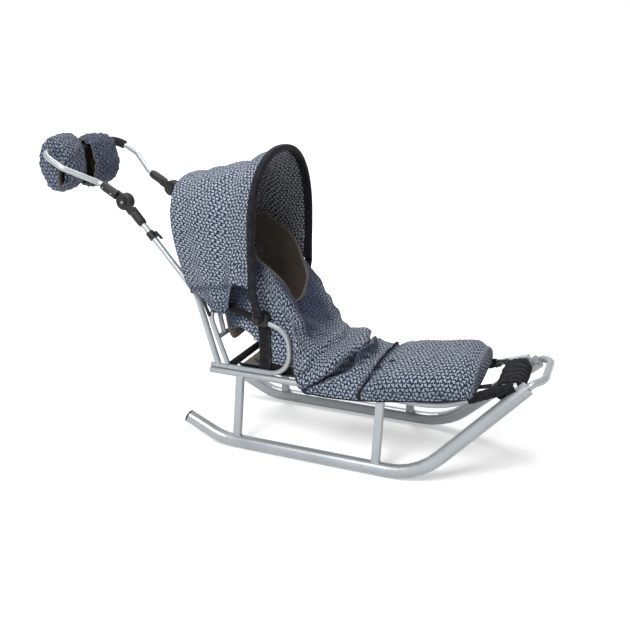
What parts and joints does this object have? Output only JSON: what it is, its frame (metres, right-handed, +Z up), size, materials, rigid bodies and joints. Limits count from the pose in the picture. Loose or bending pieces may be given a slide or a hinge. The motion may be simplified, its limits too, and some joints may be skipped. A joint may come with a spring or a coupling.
{
  "type": "child push sled with seat sack and folding hood",
  "caption": "Child's push sled: bent-tube runners, seat rails, leg sack under a folding hood, and a swivelling push handle with hand muffs.",
  "frame": {"origin": "on the ground under the middle of the overall length", "axes": "+X forward to the curved-up nose, +Y to the sled's left, +Z up"},
  "size_m": [1.612, 0.433, 0.9343],
  "materials": {
    "silver_paint": "silver-grey enamel, satin, lightly worn",
    "black_plastic": "moulded black plastic",
    "black_webbing": "black woven webbing and binding tape",
    "black_foam": "black foam grip",
    "navy_print": "navy cloth with small pale strokes",
    "brown_fleece": "brown-taupe fleece",
    "seat_board": "black-stained plywood"
  },
  "bodies": {
    "frame": {"runner_right": "silver_paint", "runner_left": "silver_paint", "runner_plug_right": "black_plastic", "runner_plug_left": "black_plastic", "nose_bow": "silver_paint", "seat_rail_right": "silver_paint", "seat_rail_left": "silver_paint", "upright_front_right": "silver_paint", "upright_front_left": "silver_paint", "upright_rear_right": "silver_paint", "upright_rear_left": "silver_paint", "cross_tube_front": "silver_paint", "cross_tube_rear": "silver_paint", "cross_tube_nose": "silver_paint", "seat_bar": "black_webbing", "seat_board": "seat_board", "side_loop_right": "silver_paint", "side_loop_left": "silver_paint", "back_cross_tube": "silver_paint", "back_frame": "silver_paint", "back_pad": "brown_fleece", "seat_pad": "brown_fleece", "leg_sack": "navy_print", "handle_tube_right": "silver_paint", "handle_tube_left": "silver_paint", "handle_collar_right": "black_plastic", "handle_collar_left": "black_plastic", "swivel_lower_right": "black_plastic", "swivel_lower_left": "black_plastic", "swivel_knob_right": "black_plastic", "swivel_knob_left": "black_plastic", "hood_hinge_right": "black_plastic", "hood_hinge_left": "black_plastic", "hood_rear_hoop": "black_plastic", "hood_fabric": "navy_print", "side_strap_right": "black_webbing", "side_strap_left": "black_webbing", "toe_strap_right": "black_webbing", "toe_strap_left": "black_webbing", "nose_wrap": "black_webbing"},
    "handle": {"swivel_upper_right": "black_plastic", "swivel_upper_left": "black_plastic", "handle_bar": "silver_paint", "grip_right": "black_foam", "grip_left": "black_foam", "muff_right": "navy_print", "muff_left": "navy_print"},
    "hood": {"hood_front_hoop": "black_webbing"}
  },
  "joints": [
    {"name": "handle_swivel", "type": "hinge", "parent": "frame", "child": "handle", "pos_m": [-0.499, 0, 0.744], "axis": [0, 1, 0], "range_deg": [-60, 60]},
    {"name": "hood_fold", "type": "hinge", "parent": "frame", "child": "hood", "pos_m": [-0.03, 0, 0.42886], "axis": [0, 1, 0], "range_deg": [-28, 0], "deforming": ["hood_fabric"]}
  ]
}
